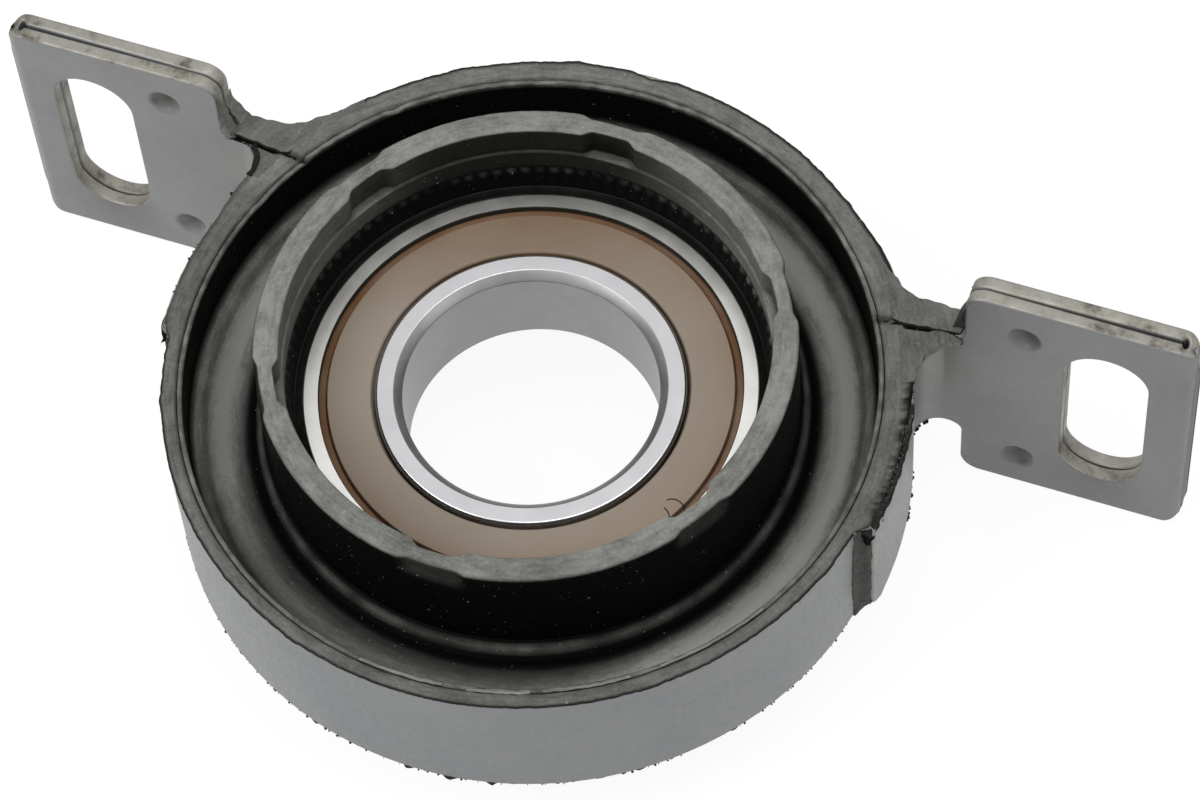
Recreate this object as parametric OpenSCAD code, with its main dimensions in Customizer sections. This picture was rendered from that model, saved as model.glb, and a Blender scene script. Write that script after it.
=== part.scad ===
// Driveshaft centre bearing: a sealed ball bearing carried by a rubber diaphragm in a steel bracket.
// The origin is the middle of the bearing, +Z is the bearing's axis and +X runs along the two ears.

/* [Bearing] */
// Bore of the inner ring, the shaft seat
bore_d = 30; // [28:0.5:32]
// Outside diameter of the outer ring
bearing_od = 55; // [53:0.5:57]
// Width of both rings
bearing_w = 13; // [12:0.5:15]
// Chamfer on the rings' edges
ring_chamfer = 1; // [0.5:0.1:1.2]
// Ball diameter
ball_d = 7.14; // [6.5:0.01:7.5]
// Number of balls
ball_count = 11; // [8:1:11]
// Radial play between a ball and each raceway
ball_play = 0.05; // [0.03:0.01:0.08]
// Height of the inner ring's seal land above the bore
land_h = 3.2; // [2.8:0.1:3.4]
// Height of the outer ring's face
outer_face_h = 2.8; // [2.4:0.1:3]

/* [Cage] */
// Sheet thickness of the pressed cage
cage_t = 0.6; // [0.5:0.05:0.7]
// Clearance between a ball and its pocket
pocket_gap = 0.1; // [0.06:0.01:0.15]
// Clearance between the cage and the rings' shoulders
cage_gap = 0.5; // [0.4:0.05:0.7]
// Diameter of a rivet's shank
rivet_d = 1.2; // [1:0.1:1.4]
// Diameter of a rivet's head
rivet_head_d = 2; // [1.8:0.1:2.2]
// Height of a rivet's head
rivet_head_h = 0.5; // [0.3:0.05:0.6]

/* [Seals] */
// Thickness of a seal's disc
seal_t = 1.5; // [1.2:0.1:1.6]
// Depth of the seal below the ring's face
seal_sink = 0.25; // [0.1:0.05:0.4]
// Width of the groove round the seal
seal_groove_w = 0.9; // [0.6:0.1:1.1]
// Depth of the groove round the seal
seal_groove_h = 0.65; // [0.4:0.05:0.7]
// Depth of the snap groove in the outer ring
snap_h = 0.4; // [0.3:0.05:0.5]
// Open gap seen between the seal and the inner ring
lip_gap = 0.35; // [0.25:0.05:0.5]
// Running clearance of the seal's lip on its land
lip_play = 0.08; // [0.05:0.01:0.1]
// Clearance of the seal in the outer ring
seal_fit = 0.03; // [0.02:0.01:0.05]

/* [Inner sleeve] */
// Wall of the steel sleeve that holds the bearing
seat_t = 1.5; // [1.2:0.1:1.8]
// Rise of the sleeve above the bearing's upper face
seat_rise = 0.3; // [0.2:0.05:0.6]
// Thickness of the stop flange under the bearing
stop_t = 1; // [0.8:0.1:1.4]
// Width of the stop flange
stop_w = 2.1; // [1.6:0.1:2.4]

/* [Outer sleeve] */
// Outside diameter of the outer sleeve
sleeve_d = 85.6; // [84:0.2:88]
// Wall of the outer sleeve
sleeve_t = 1.5; // [1.2:0.1:1.8]
// Height of the outer sleeve and of the strap round it
sleeve_h = 19.5; // [17:0.5:24]
// Distance from the bearing's middle down to the sleeve's middle
sleeve_drop = 0.9; // [0:0.1:2]

/* [Bracket strap] */
// Thickness of the strip
strap_t = 1.7; // [1.4:0.1:2]
// Height of an ear
ear_h = 39; // [36:1:46]
// Distance from the front bend's middle to an ear's inner edge
neck_run = 1.9; // [1.7:0.1:3]
// Distance from the axis to the ears' front faces
ear_front = 20.1; // [18:0.1:22]
// Slit between the two layers of an ear
fold_gap = 0.2; // [0.15:0.05:0.4]
// Width of the eye where an ear is folded
eye_d = 0.7; // [0.5:0.1:1]
// Corner radius of an ear
ear_corner_r = 2.5; // [1.5:0.1:4]
// Fillet between the strip's edge and an ear
neck_r = 1.6; // [1:0.1:1.6]
// Inside radius of the bend in front of an ear
front_bend_r = 3; // [2.5:0.1:3.5]
// Inside radius of the bend behind an ear
rear_bend_r = 5; // [4:0.1:6]
// Angle by which a front leg reaches past the bearing's middle
leg_angle = 9; // [5:0.5:15]
// Distance between the two bolt slots
slot_spacing = 126.6; // [124:0.2:140]
// Distance from the middle of a slot to the ear's tip
slot_inset = 10.2; // [8.5:0.1:14]
// Width of a bolt slot
slot_w = 10; // [8:0.5:11]
// Length of a bolt slot
slot_l = 27; // [20:0.5:30]
// Diameter of a clinch dimple
dimple_d = 4; // [3:0.1:4.6]
// Depth of a clinch dimple
dimple_h = 1; // [0.6:0.1:1.2]
// Distance between an ear's two dimples
dimple_spacing = 27; // [24:0.5:29]
// Place of the dimples, as a share of the way from an ear's inner edge to its slot
dimple_share = 0.59; // [0.4:0.01:0.65]
// Rise of the clinched button behind an ear
button_h = 0.4; // [0.2:0.1:0.6]

/* [Rubber mount] */
// Thickness of the lining inside the outer sleeve
lining_t = 1; // [0.8:0.1:1.3]
// Rubber over the sleeve's edges in front
cap_h = 0.35; // [0.2:0.05:0.5]
// Rubber over the sleeve and strap behind the ears' line
rear_cap_h = 0.85; // [0.7:0.05:1.2]
// Set-back of the upper cap from the lining's inner wall
cap_lip = 0.2; // [0.1:0.05:0.4]
// Strap edge left bare by the rubber over it
cap_inset = 0.3; // [0.1:0.05:0.5]
// Thickness of the rubber on a leg's end
pad_t = 0.9; // [0.6:0.1:1.5]
// Distance from the rear of the step in the cap to the ears' front faces
step_inset = 0.3; // [0.1:0.1:0.8]
// Distance from the front bend's middle to the tip of a web
web_tip = 1.6; // [1.4:0.1:2]
// Bonding layer between the rubber and the inner sleeve
bond_gap = 0.05; // [0.03:0.01:0.1]
// Gap between the bearing's outside and the collar's inside
collar_gap = 0.7; // [0.5:0.1:1]
// Thickness of the collar
collar_t = 3.1; // [2.8:0.1:3.6]
// Rise of the collar above the bearing's upper face
collar_rise = 11; // [9:0.5:13]
// Draft of the collar's inner wall
collar_draft = 0.3; // [0.1:0.05:0.4]
// Depth of the hub below the bearing's lower face
hub_skirt = 1.5; // [1.4:0.1:3]
// Height of the ridge inside the collar above the bearing's upper face
ridge_rise = 3.5; // [3:0.1:4.5]
// Half height of the ridge inside the collar
ridge_h = 0.4; // [0.2:0.05:0.5]
// Height of the diaphragm's middle above the bearing's middle
diaphragm_z = -0.6; // [-1:0.1:0.5]
// Half thickness of the diaphragm's broad floor
floor_half = 1.5; // [1.2:0.1:2]
// Half thickness of the diaphragm at the valley beside the bead
valley_half = 0.9; // [0.7:0.1:1.2]
// Half thickness of the diaphragm at the bead's crest
bead_half = 2.2; // [1.8:0.1:2.6]
// Half thickness of the diaphragm at its outer ledge
ledge_half = 2.6; // [2.2:0.1:3]
// Half thickness of the diaphragm where it joins the walls
root_half = 3.8; // [3.4:0.1:4.4]

/* [Collar notches] */
// Number of notches round the collar
notch_count = 6; // [3:1:8]
// Direction of the first notch from +X
notch_angle = 28; // [0:1:59]
// Width of a notch's inner pocket
pocket_w = 5.5; // [4:0.5:7]
// Depth of a notch's inner pocket
pocket_depth = 0.9; // [0.5:0.1:1.2]
// Height of a notch's inner pocket
pocket_h = 4.4; // [3:0.1:5]
// Width of a notch's outer recess
recess_w = 7; // [5:0.5:9]
// Depth of a notch's outer recess
recess_depth = 0.7; // [0.4:0.1:0.9]
// Height of a notch's outer recess
recess_h = 3.3; // [2:0.1:4.5]

/* [Hidden] */
$fn = 96;
// Overlap that joins solids and clears cuts
over = 0.5;

bore_r = bore_d / 2;
seat_r = bearing_od / 2;
half_w = bearing_w / 2;
ball_r = ball_d / 2;
pitch_r = (bore_r + seat_r) / 2;
groove_r = 0.52 * ball_d;
inner_groove_c = pitch_r - ball_r - ball_play + groove_r;
outer_groove_c = pitch_r + ball_r + ball_play - groove_r;
land_r = bore_r + land_h;
inner_shoulder_r = pitch_r - 0.3 * ball_d;
outer_shoulder_r = pitch_r + 0.3 * ball_d;
outer_face_r = seat_r - outer_face_h;
snap_r = outer_face_r + snap_h;

seal_top = half_w - seal_sink;
seal_bottom = seal_top - seal_t;
seal_step = seal_top - seal_groove_h;
shoulder_z = seal_bottom - seal_fit;

pocket_r = ball_r + pocket_gap;
cage_in_r = inner_shoulder_r + cage_gap;
cage_out_r = outer_shoulder_r - cage_gap;
ball_step = 360 / ball_count;

seat_top = half_w + seat_rise;
seat_bottom = -half_w - stop_t;
seat_out_r = seat_r + seat_t;

sleeve_r = sleeve_d / 2;
sleeve_in_r = sleeve_r - sleeve_t;
band_mid = -sleeve_drop;
band_top = band_mid + sleeve_h / 2;
band_bottom = band_mid - sleeve_h / 2;

strap_r = sleeve_r + strap_t;
ear_mid = ear_front + strap_t + fold_gap / 2;
ear_back = ear_mid + fold_gap / 2 + strap_t;
slot_x = slot_spacing / 2;
ear_tip_x = slot_x + slot_inset;
fold_x = ear_tip_x - strap_t - fold_gap / 2;
front_a = asin((ear_front - front_bend_r) / (strap_r + front_bend_r));
front_bend_c = (strap_r + front_bend_r) * dir(front_a);
neck_x = front_bend_c.x + neck_run;
dimple_x = neck_x + dimple_share * (slot_x - slot_w / 2 - neck_x);
rear_a = asin((ear_back + rear_bend_r) / (strap_r + rear_bend_r));
rear_bend_c = (strap_r + rear_bend_r) * dir(rear_a);
// Angle by which a bend's filling stops short of its tangent points
bend_trim = 4;

hub_in_r = seat_out_r + bond_gap;
hub_top = seat_top + bond_gap;
hub_bottom = -half_w - hub_skirt;
collar_in_r = seat_r + collar_gap;
collar_r = collar_in_r + collar_t;
collar_top = half_w + collar_rise;
ridge_z = half_w + ridge_rise;
throat_r = seat_r + 0.3 * collar_gap;
lining_r = sleeve_in_r - lining_t;
rim_top = band_top + cap_h;
rim_bottom = band_bottom - cap_h;
cap_r = strap_r - cap_inset;
step_y = ear_front - step_inset;
pad_angle = pad_t / strap_r * 180 / PI;

// Knots of the diaphragm's surface: share of the way from the collar to the lining, half thickness
diaphragm_knots = [
  [0, root_half],
  [0.14, bead_half],
  [0.3, valley_half],
  [0.56, floor_half],
  [0.76, floor_half],
  [0.86, ledge_half],
  [0.92, ledge_half],
  [1, root_half]
];
knot_steps = 4;

// Direction in the plane as a unit vector
function dir(a) = [cos(a), sin(a)];

// Point in the middle of the strip's ring at a given distance behind the axis
function ring_point(y) = [sqrt(pow(strap_r - strap_t / 2, 2) - y * y), y];

// Half-cosine step from a to b
function ease(a, b, t) = a + (b - a) * (1 - cos(180 * t)) / 2;

// Upper surface of the diaphragm as [share of its span, half thickness]
function diaphragm_curve() = [
  for (k = [0:len(diaphragm_knots) - 2], s = [0:knot_steps - 1])
    let (a = diaphragm_knots[k], b = diaphragm_knots[k + 1], t = s / knot_steps)
      [a[0] + (b[0] - a[0]) * t, ease(a[1], b[1], t)],
  diaphragm_knots[len(diaphragm_knots) - 1]
];

// Rectangle with round corners, from its lower left corner
module round_rect(size, r) {
  translate([r, 0]) square([size.x - 2 * r, size.y]);
  translate([0, r]) square([size.x, size.y - 2 * r]);
  for (x = [r, size.x - r], y = [r, size.y - r]) translate([x, y]) circle(r);
}

// Shape drawn in X and Z, taken through the ears from front to back
module through_ears() {
  depth = 2 * strap_r;
  translate([0, depth, 0]) rotate([90, 0, 0]) linear_extrude(2 * depth) children();
}

module on_both_sides() {
  children();
  mirror([1, 0, 0]) children();
}

// Rolled steel ring
module outer_sleeve() {
  color("#8f9296") translate([0, 0, band_bottom]) linear_extrude(sleeve_h) difference() {
    circle(sleeve_r);
    circle(sleeve_in_r);
  }
}

// Front of the ring from a given angle past the bearing's middle on one side to the other
module open_front(past) {
  polygon(concat([[0, 0]], [for (a = [-past, -45, -90, -135, past - 180]) 2 * strap_r * dir(a)]));
}

// Fills the corner that a bend rounds off between the ring and an ear
module bend_fillet(bend_c, bend_r, ear_a, ring_a, root) {
  reach = bend_r + strap_t / 2;
  difference() {
    polygon([bend_c, bend_c + reach * dir(ear_a), root, bend_c + reach * dir(ring_a)]);
    translate(bend_c) circle(bend_r);
  }
}

// Outside of the bent strip seen along the axis: ring, folded ears and the bends between them
module strip_outside() {
  circle(strap_r);
  on_both_sides() {
    translate([0, ear_front]) square([fold_x, ear_back - ear_front]);
    translate([fold_x, ear_mid]) circle((ear_back - ear_front) / 2);
    bend_fillet(front_bend_c, front_bend_r, 90 + bend_trim, 180 + front_a - bend_trim,
      ring_point(ear_front + strap_t / 2));
    bend_fillet(rear_bend_c, rear_bend_r, 270 - bend_trim, 180 + rear_a + bend_trim,
      ring_point(ear_back - strap_t / 2));
  }
}

// Room between the sleeve and the two legs of the strip, seen along the axis
module web_room() {
  tip_x = front_bend_c.x - fold_gap;
  root_r = sleeve_r - over;
  difference() {
    polygon([
      root_r * dir(front_a + bend_trim / 2),
      [tip_x, ear_mid - fold_gap / 2],
      [tip_x, ear_mid + fold_gap / 2],
      [rear_bend_c.x, ear_mid + fold_gap / 2],
      root_r * dir(rear_a - bend_trim / 2)
    ]);
    translate(front_bend_c) circle(front_bend_r + strap_t);
    translate(rear_bend_c) circle(rear_bend_r + strap_t);
  }
}

// Inside of the bent strip: the sleeve, the slits between the ears' layers and the open front
module strip_inside() {
  circle(sleeve_r);
  on_both_sides() {
    web_room();
    translate([front_bend_c.x - over, ear_mid - fold_gap / 2])
      square([fold_x - front_bend_c.x + over, fold_gap]);
    translate([fold_x, ear_mid]) circle(eye_d / 2);
  }
  open_front(leg_angle);
}

// Front view of one side of the strip: narrow round the sleeve, tall at the ear
module half_silhouette() {
  translate([0, band_bottom]) square([neck_x + ear_corner_r, sleeve_h]);
  translate([neck_x, band_mid - ear_h / 2]) round_rect([ear_tip_x - neck_x, ear_h], ear_corner_r);
  for (edge = [-1, 1]) translate([neck_x - neck_r, band_mid + edge * sleeve_h / 2]) difference() {
    translate([0, edge > 0 ? -over : -neck_r]) square([neck_r + over, neck_r + over]);
    translate([0, edge * neck_r]) circle(neck_r);
  }
}

// Slot with round ends, long along Z
module slot_outline() {
  square([slot_w, slot_l - slot_w], center = true);
  for (end = [-1, 1]) translate([0, end * (slot_l - slot_w) / 2]) circle(slot_w / 2);
}

// Places a clinch, its axis towards the back of the ear
module at_dimples() {
  for (end = [-1, 1]) translate([dimple_x, ear_front, band_mid + end * dimple_spacing / 2])
    rotate([-90, 0, 0]) children();
}

// Button pressed through both layers of an ear
module clinch() {
  plug_d = 0.75 * dimple_d;
  translate([0, 0, strap_t / 2]) cylinder(d = plug_d, h = strap_t + fold_gap);
  translate([0, 0, ear_back - ear_front]) cylinder(d1 = dimple_d, d2 = plug_d, h = button_h);
}

// Round dent of a clinch in the ear's front face
module clinch_dent() {
  dent_r = (pow(dimple_d / 2, 2) + dimple_h * dimple_h) / (2 * dimple_h);
  translate([0, 0, dimple_h - dent_r]) sphere(dent_r);
}

// One steel strip, bent round the sleeve and folded double at the ears
module bracket_strap() {
  color("#85888b") difference() {
    union() {
      intersection() {
        translate([0, 0, band_mid - ear_h / 2]) linear_extrude(ear_h) difference() {
          strip_outside();
          strip_inside();
        }
        through_ears() on_both_sides() half_silhouette();
      }
      on_both_sides() at_dimples() clinch();
    }
    through_ears() on_both_sides() translate([slot_x, band_mid]) slot_outline();
    on_both_sides() at_dimples() clinch_dent();
  }
}

// Rubber between the two legs of the strip and the sleeve, seen along the axis
module web_outline() {
  intersection() {
    difference() {
      web_room();
      circle(sleeve_r);
    }
    square([front_bend_c.x - web_tip, strap_r]);
  }
}

// Half section of the hub and collar
module hub_section() {
  polygon([
    [hub_in_r, hub_bottom],
    [collar_r, hub_bottom],
    [collar_r, collar_top],
    [collar_in_r, collar_top],
    [collar_in_r + collar_draft, ridge_z + ridge_h],
    [collar_in_r, ridge_z],
    [collar_in_r + collar_draft, ridge_z - ridge_h],
    [throat_r, hub_top + seat_rise],
    [throat_r, hub_top],
    [hub_in_r, hub_top]
  ]);
}

// Half section of the diaphragm, the same above and below its middle
module diaphragm_section() {
  upper = [
    for (p = diaphragm_curve())
      [collar_r + (lining_r - collar_r) * p[0], p[1]]
  ];
  first = upper[0];
  last = upper[len(upper) - 1];
  rim = concat([[first.x - over, first.y]], upper, [[last.x + over, last.y]]);
  lower = [for (i = [len(rim) - 1:-1:0]) [rim[i].x, -rim[i].y]];
  translate([0, diaphragm_z]) polygon(concat(rim, lower));
}

// Half section of the lining with its caps over the sleeve's edges
module lining_section() {
  translate([lining_r, rim_bottom]) square([lining_t, rim_top - rim_bottom]);
  translate([lining_r, band_top]) square([sleeve_r - lining_r, cap_h]);
  translate([lining_r, rim_bottom]) square([sleeve_r - lining_r - cap_inset, cap_h]);
}

// Rubber over the upper edges of the sleeve, strap and webs, seen along the axis
module cap_outline() {
  difference() {
    union() {
      circle(cap_r);
      on_both_sides() web_outline();
    }
    circle(lining_r + cap_lip);
    open_front(leg_angle + pad_angle);
  }
}

// The same rubber behind the step, where it is thicker
module rear_cap_outline() {
  intersection() {
    cap_outline();
    translate([-ear_tip_x, step_y]) square(2 * ear_tip_x);
  }
}

// Rubber on the end of a front leg, seen along the axis
module pad_outline() {
  intersection() {
    difference() {
      circle(cap_r);
      circle(sleeve_r);
    }
    polygon([[0, 0], strap_r * 2 * dir(-leg_angle - pad_angle), strap_r * 2 * dir(-leg_angle)]);
  }
}

// Inner pocket and outer recess of one collar notch, cut from above
module notch_cut() {
  pocket_floor = collar_top - pocket_h;
  recess_floor = collar_top - recess_h;
  translate([collar_in_r - over, -pocket_w / 2, pocket_floor])
    cube([pocket_depth + over, pocket_w, pocket_h + over]);
  translate([collar_r - recess_depth, -recess_w / 2, recess_floor])
    cube([recess_depth + over, recess_w, recess_h + over]);
}

// One rubber moulding bonded to the steel: lining, webs, diaphragm, hub and notched collar
module rubber_mount() {
  color("#3a3c3d") difference() {
    union() {
      rotate_extrude() {
        hub_section();
        diaphragm_section();
        lining_section();
      }
      translate([0, 0, band_bottom]) linear_extrude(rim_top - band_bottom) on_both_sides() {
        web_outline();
        pad_outline();
      }
      translate([0, 0, band_top]) linear_extrude(cap_h) cap_outline();
      translate([0, 0, band_top]) linear_extrude(rear_cap_h) rear_cap_outline();
    }
    for (i = [0:notch_count - 1]) rotate(notch_angle + i * 360 / notch_count) notch_cut();
  }
}

// Pressed steel cup that the bearing sits in, with a stop flange under it
module inner_sleeve() {
  color("#9a9c9f") rotate_extrude() {
    translate([seat_r, seat_bottom]) square([seat_t, seat_top - seat_bottom]);
    translate([seat_r - stop_w, seat_bottom]) square([stop_w + seat_t, stop_t]);
  }
}

// Half section of the outer ring's inside above the ball groove
function outer_ring_edge(side) = [
  [outer_face_r, side * half_w],
  [outer_face_r, side * seal_step],
  [snap_r, side * seal_step],
  [snap_r, side * shoulder_z],
  [outer_shoulder_r, side * shoulder_z]
];

function reversed(list) = [for (i = [len(list) - 1:-1:0]) list[i]];

// Outer ring with its ball groove and the two seal seats
module bearing_outer_ring() {
  color("#d8d7dc") rotate_extrude() difference() {
    polygon(concat(
      [
        [seat_r - ring_chamfer, -half_w],
        [seat_r, -half_w + ring_chamfer],
        [seat_r, half_w - ring_chamfer],
        [seat_r - ring_chamfer, half_w]
      ],
      outer_ring_edge(1),
      reversed(outer_ring_edge(-1))
    ));
    translate([outer_groove_c, 0]) circle(groove_r);
  }
}

// Inner ring with its ball groove and the two seal lands
module bearing_inner_ring() {
  color("#dcdbe0") rotate_extrude() difference() {
    polygon([
      [bore_r + ring_chamfer, -half_w],
      [land_r, -half_w],
      [land_r, -shoulder_z],
      [inner_shoulder_r, -shoulder_z + land_h / 10],
      [inner_shoulder_r, shoulder_z - land_h / 10],
      [land_r, shoulder_z],
      [land_r, half_w],
      [bore_r + ring_chamfer, half_w],
      [bore_r, half_w - ring_chamfer],
      [bore_r, -half_w + ring_chamfer]
    ]);
    translate([inner_groove_c, 0]) circle(groove_r);
  }
}

// Places a shape at a ball, or half way to the next one
module at_ball(i) {
  rotate(i * ball_step) translate([pitch_r, 0, 0]) children();
}

module ball(i) {
  color("#e4e4e8") at_ball(i - 1) sphere(ball_r);
}

// Upper half of the cage: a flat ribbon pressed out into a pocket over each ball
module cage_half() {
  difference() {
    intersection() {
      union() {
        cylinder(r = cage_out_r, h = cage_t);
        for (i = [0:ball_count - 1]) at_ball(i) sphere(pocket_r + cage_t);
      }
      linear_extrude(pocket_r + cage_t) difference() {
        circle(cage_out_r);
        circle(cage_in_r);
      }
    }
    for (i = [0:ball_count - 1]) {
      at_ball(i) sphere(pocket_r);
      at_ball(i + 0.5) cylinder(d = rivet_d, h = 4 * cage_t, center = true);
    }
  }
}

module cage_upper() {
  color("#b9b4a6") cage_half();
}

module cage_lower() {
  color("#b9b4a6") mirror([0, 0, 1]) cage_half();
}

// Rivets that close the two halves of the cage
module cage_rivets() {
  color("#c2bdb0") for (i = [0:ball_count - 1]) at_ball(i + 0.5) {
    cylinder(d = rivet_d, h = 2 * cage_t, center = true);
    for (side = [0, 1]) mirror([0, 0, side]) translate([0, 0, cage_t])
      cylinder(d1 = rivet_head_d, d2 = rivet_d, h = rivet_head_h);
  }
}

// Rubber seal clipped into the outer ring, its lip running on the inner ring's land
module seal() {
  edge_r = land_r + lip_gap;
  lip_r = land_r + lip_play;
  groove_in_r = outer_face_r - seal_groove_w;
  bevel = seal_sink;
  rotate_extrude() polygon([
    [edge_r, seal_step],
    [edge_r, seal_top - bevel],
    [edge_r + bevel, seal_top],
    [groove_in_r - bevel, seal_top],
    [groove_in_r, seal_step],
    [snap_r - seal_fit, seal_step - seal_fit],
    [snap_r - seal_fit, seal_bottom],
    [inner_shoulder_r, seal_bottom],
    [edge_r, seal_bottom + bevel],
    [lip_r, seal_bottom + bevel],
    [lip_r, seal_bottom + 2 * bevel]
  ]);
}

module seal_upper() {
  color("#96877a") seal();
}

module seal_lower() {
  color("#96877a") mirror([0, 0, 1]) seal();
}

outer_sleeve();
bracket_strap();
rubber_mount();
inner_sleeve();
bearing_outer_ring();
bearing_inner_ring();
for (i = [1:ball_count]) ball(i);
cage_upper();
cage_lower();
cage_rivets();
seal_upper();
seal_lower();
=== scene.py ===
import math

import bmesh
import bpy
from mathutils import Matrix, Vector, noise
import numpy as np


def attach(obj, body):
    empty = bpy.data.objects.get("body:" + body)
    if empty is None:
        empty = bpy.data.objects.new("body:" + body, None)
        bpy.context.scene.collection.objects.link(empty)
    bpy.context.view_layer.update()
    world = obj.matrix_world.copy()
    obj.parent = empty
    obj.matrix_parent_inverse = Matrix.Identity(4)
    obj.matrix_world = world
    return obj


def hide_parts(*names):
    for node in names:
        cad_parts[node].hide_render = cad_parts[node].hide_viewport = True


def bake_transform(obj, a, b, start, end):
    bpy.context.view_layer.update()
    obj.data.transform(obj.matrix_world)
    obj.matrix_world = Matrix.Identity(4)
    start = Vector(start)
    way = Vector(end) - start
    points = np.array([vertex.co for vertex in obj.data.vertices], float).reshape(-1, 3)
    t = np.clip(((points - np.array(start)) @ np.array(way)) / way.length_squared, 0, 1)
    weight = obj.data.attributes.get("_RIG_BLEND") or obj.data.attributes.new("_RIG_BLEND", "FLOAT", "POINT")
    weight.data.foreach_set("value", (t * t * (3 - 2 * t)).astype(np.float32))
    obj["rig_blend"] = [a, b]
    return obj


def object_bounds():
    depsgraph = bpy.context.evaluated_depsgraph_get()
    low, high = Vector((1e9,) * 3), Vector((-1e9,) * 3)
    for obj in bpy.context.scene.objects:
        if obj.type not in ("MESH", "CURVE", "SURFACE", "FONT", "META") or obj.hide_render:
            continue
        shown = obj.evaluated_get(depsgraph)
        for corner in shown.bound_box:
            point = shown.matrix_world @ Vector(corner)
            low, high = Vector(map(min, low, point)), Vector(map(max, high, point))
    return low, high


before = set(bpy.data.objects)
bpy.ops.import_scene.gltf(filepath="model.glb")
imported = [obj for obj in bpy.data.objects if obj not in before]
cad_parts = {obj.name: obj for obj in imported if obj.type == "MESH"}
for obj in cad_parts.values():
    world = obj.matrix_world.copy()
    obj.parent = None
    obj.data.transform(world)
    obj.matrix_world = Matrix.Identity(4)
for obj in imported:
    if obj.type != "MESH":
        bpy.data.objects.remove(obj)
cad_low, cad_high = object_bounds()

# Camera of the studio picture: a long lens above the front right of the part, turned a little
# about its own axis. The angles and the offset were fitted to the bearing's circles.
mm = 0.001
view_height = math.radians(59.76)
view_turn = math.radians(23.98)
view_roll = math.radians(-5.21)
view_offset = (-8.05 * mm, 1.50 * mm, 561.56 * mm)
bearing_face = 6.5 * mm
film_width = 36
focal_length = 145.17

across = Vector((1, 0, 0))
upward = Vector((0, math.sin(view_height), math.cos(view_height)))
ahead = Vector((0, math.cos(view_height), -math.sin(view_height)))
rolled_across = across * math.cos(view_roll) + upward * math.sin(view_roll)
rolled_upward = upward * math.cos(view_roll) - across * math.sin(view_roll)
stand = -(rolled_across * view_offset[0] + rolled_upward * view_offset[1] + ahead * view_offset[2])
turn = Matrix.Rotation(view_turn, 3, "Z")
lens_axes = Matrix([turn @ rolled_across, turn @ rolled_upward, turn @ -ahead]).transposed()
lens_spot = turn @ stand + Vector((0, 0, bearing_face))
camera = bpy.data.objects.new("camera", bpy.data.cameras.new("camera"))
camera.matrix_world = Matrix.Translation(lens_spot) @ lens_axes.to_4x4()
camera.data.sensor_width = film_width
camera.data.lens = focal_length
camera.data.clip_start = 10 * mm
bpy.context.scene.collection.objects.link(camera)
bpy.context.scene.camera = camera

# Outer sleeve: a rolled steel ring with a thin grey coat, lined with rubber inside.
# Its upper and lower edges lie under the rubber, so only the front of the band is bare.
sleeve_r = 42.8
sleeve_wall = 1.5
sleeve_in_r = sleeve_r - sleeve_wall
band_top = 8.85
band_bottom = -10.65
sleeve_edge_round = 0.25
sleeve_steps = 360


def turned(profile, rounding, steps):
    """Half section in (radius, height) millimetres, its corners rounded, spun round the bearing's axis."""
    bm = bmesh.new()
    bm.faces.new([bm.verts.new((r, 0, z)) for r, z in profile])
    bmesh.ops.bevel(bm, geom=bm.verts[:], offset=rounding, offset_type="OFFSET", segments=3,
                    profile=0.5, affect="VERTICES", clamp_overlap=True, material=-1)
    bmesh.ops.delete(bm, geom=bm.faces[:], context="FACES_ONLY")
    bmesh.ops.spin(bm, geom=bm.verts[:] + bm.edges[:], cent=(0, 0, 0), axis=(0, 0, 1),
                   angle=2 * math.pi, steps=steps, use_merge=True)
    return bm


def piece_from(bm, name, material, sharp=35):
    """Turns a mesh in millimetres into a finished piece at the frame's origin."""
    bmesh.ops.remove_doubles(bm, verts=bm.verts[:], dist=1e-4)
    bmesh.ops.recalc_face_normals(bm, faces=bm.faces[:])
    for face in bm.faces:
        face.smooth = True
    for edge in bm.edges:
        edge.smooth = edge.calc_face_angle(0) < math.radians(sharp)
    bmesh.ops.scale(bm, vec=(mm, mm, mm), verts=bm.verts[:])
    mesh = bpy.data.meshes.new(name)
    bm.to_mesh(mesh)
    bm.free()
    mesh.materials.append(material)
    piece = bpy.data.objects.new(name, mesh)
    piece.modifiers.new("flat_faces_stay_flat", "WEIGHTED_NORMAL").keep_sharp = True
    bpy.context.scene.collection.objects.link(piece)
    return piece


def finish(name, **sockets):
    """A new material whose shader has these values on its own sockets."""
    material = bpy.data.materials.new(name)
    material.use_nodes = True
    shader = material.node_tree.nodes["Principled BSDF"]
    for socket, value in sockets.items():
        shader.inputs[socket.replace("_", " ")].default_value = value
    return material


def node(material, kind, sockets=(), **settings):
    """A shader node with its settings made and its sockets set or linked."""
    made = material.node_tree.nodes.new(kind)
    for setting, value in settings.items():
        setattr(made, setting, value)
    for socket, value in dict(sockets).items():
        if isinstance(value, bpy.types.NodeSocket):
            material.node_tree.links.new(value, made.inputs[socket])
        else:
            made.inputs[socket].default_value = value
    return made


def feed(material, **sockets):
    """Links node outputs to the shader of a material."""
    shader = material.node_tree.nodes["Principled BSDF"]
    for socket, output in sockets.items():
        material.node_tree.links.new(output, shader.inputs[socket.replace("_", " ")])


def object_place(material):
    return node(material, "ShaderNodeTexCoord").outputs["Object"]


def grain(material, place, scale, detail=4.0, roughness=0.6):
    """Noise of a given number of spots per metre."""
    sockets = {"Vector": place, "Scale": scale, "Detail": detail, "Roughness": roughness}
    return node(material, "ShaderNodeTexNoise", sockets).outputs["Fac"]


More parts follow.
